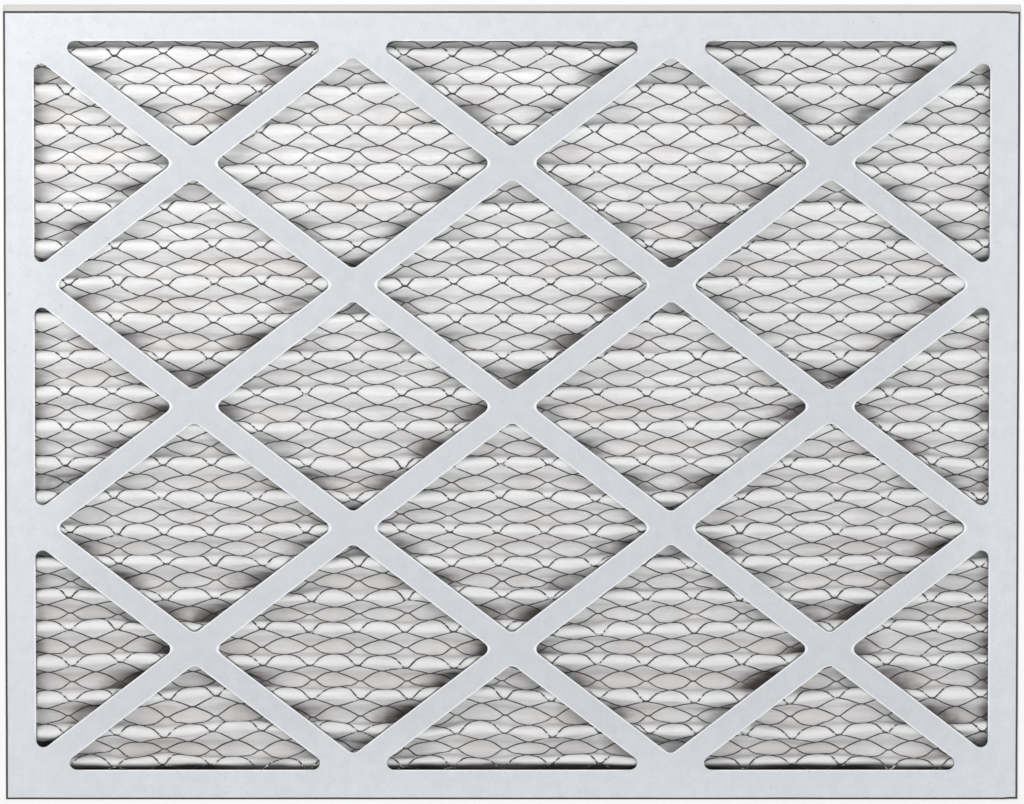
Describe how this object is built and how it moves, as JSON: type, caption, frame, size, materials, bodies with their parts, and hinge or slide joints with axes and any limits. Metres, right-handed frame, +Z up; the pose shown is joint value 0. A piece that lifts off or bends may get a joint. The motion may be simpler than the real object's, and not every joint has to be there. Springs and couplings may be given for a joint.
{
  "type": "pleated panel air filter",
  "caption": "Flat rectangular panel air filter: pleated cloth on expanded metal in a folded paperboard frame with a diagonal lattice on both faces.",
  "frame": {"origin": "middle of the footprint of the panel standing on its long lower edge", "axes": "+X along the width, +Y through the depth away from the face that shows the metal mesh, +Z up"},
  "size_m": [0.6224, 0.019, 0.4953],
  "materials": {
    "front_board": "matte",
    "back_board": "matte",
    "filter_cloth": "matte",
    "mesh_metal": "satin"
  },
  "bodies": {
    "root": {"front_frame": "front_board", "back_frame": "back_board", "pleated_media": "filter_cloth", "support_mesh": "mesh_metal"}
  },
  "joints": []
}
